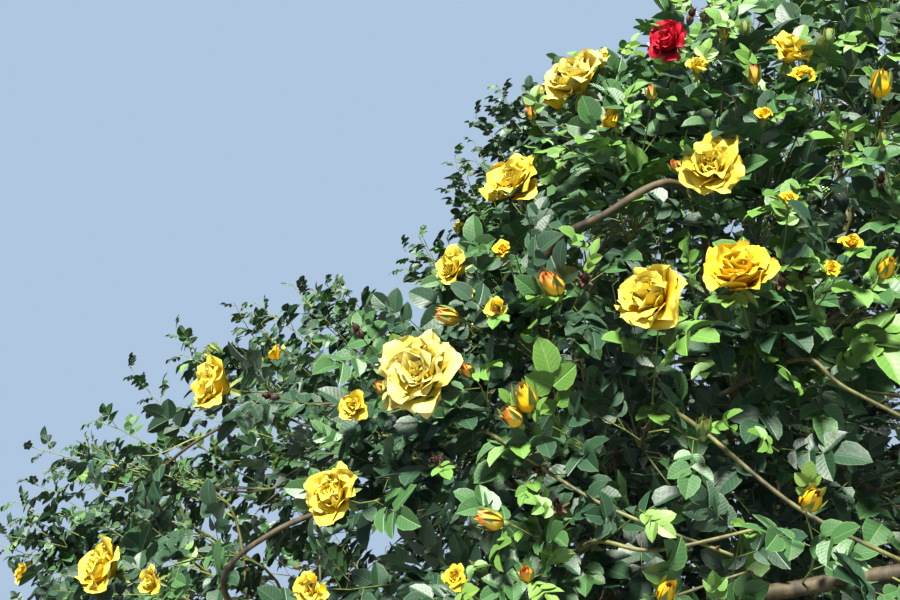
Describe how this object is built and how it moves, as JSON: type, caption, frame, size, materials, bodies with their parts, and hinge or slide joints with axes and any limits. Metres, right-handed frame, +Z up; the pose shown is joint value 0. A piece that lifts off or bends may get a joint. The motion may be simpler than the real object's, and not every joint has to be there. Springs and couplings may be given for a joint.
{
  "type": "rose bush",
  "caption": "Large garden rose bush in bloom: a short flared stem, arching canes and side boughs, and masses of glossy leaves with yellow double blooms, open towards one side.",
  "frame": {"origin": "centre of the flat cut under the stem, at ground level", "axes": "+Z up; -Y is the side shown in the picture; +X is to the right in it"},
  "size_m": [2.985, 2.8278, 2.6826],
  "materials": {
    "old_bark": "rough brown bark",
    "green_bark": "smooth green-brown bark",
    "foliage": "glossy dark green leaves with yellow blooms"
  },
  "bodies": {
    "root": {"stem": "old_bark", "cane_1": "old_bark", "cane_2": "old_bark", "cane_3": "old_bark", "cane_4": "old_bark", "cane_5": "old_bark", "cane_6": "old_bark", "cane_7": "old_bark", "cane_8": "old_bark", "cane_9": "old_bark", "cane_10": "old_bark", "cane_11": "old_bark", "bough_1": "green_bark", "bough_2": "green_bark", "bough_3": "green_bark", "bough_4": "green_bark", "bough_5": "green_bark", "bough_6": "green_bark", "bough_7": "green_bark", "bough_8": "green_bark", "bough_9": "green_bark", "bough_10": "green_bark", "bough_11": "green_bark", "bough_12": "green_bark", "bough_13": "green_bark", "bough_14": "green_bark", "bough_15": "green_bark", "top_leaves_1": "foliage", "top_leaves_2": "foliage", "top_leaves_3": "foliage", "top_leaves_4": "foliage", "shoulder_leaves_1": "foliage", "shoulder_leaves_2": "foliage", "shoulder_leaves_3": "foliage", "shoulder_leaves_4": "foliage", "shoulder_leaves_5": "foliage", "shoulder_leaves_6": "foliage", "shoulder_leaves_7": "foliage", "belt_leaves_1": "foliage", "belt_leaves_2": "foliage", "belt_leaves_3": "foliage", "belt_leaves_4": "foliage", "belt_leaves_5": "foliage", "belt_leaves_6": "foliage", "belt_leaves_7": "foliage", "belt_leaves_8": "foliage", "skirt_leaves_1": "foliage", "skirt_leaves_2": "foliage", "skirt_leaves_3": "foliage", "skirt_leaves_4": "foliage", "skirt_leaves_5": "foliage", "skirt_leaves_6": "foliage", "skirt_leaves_7": "foliage"}
  },
  "joints": []
}
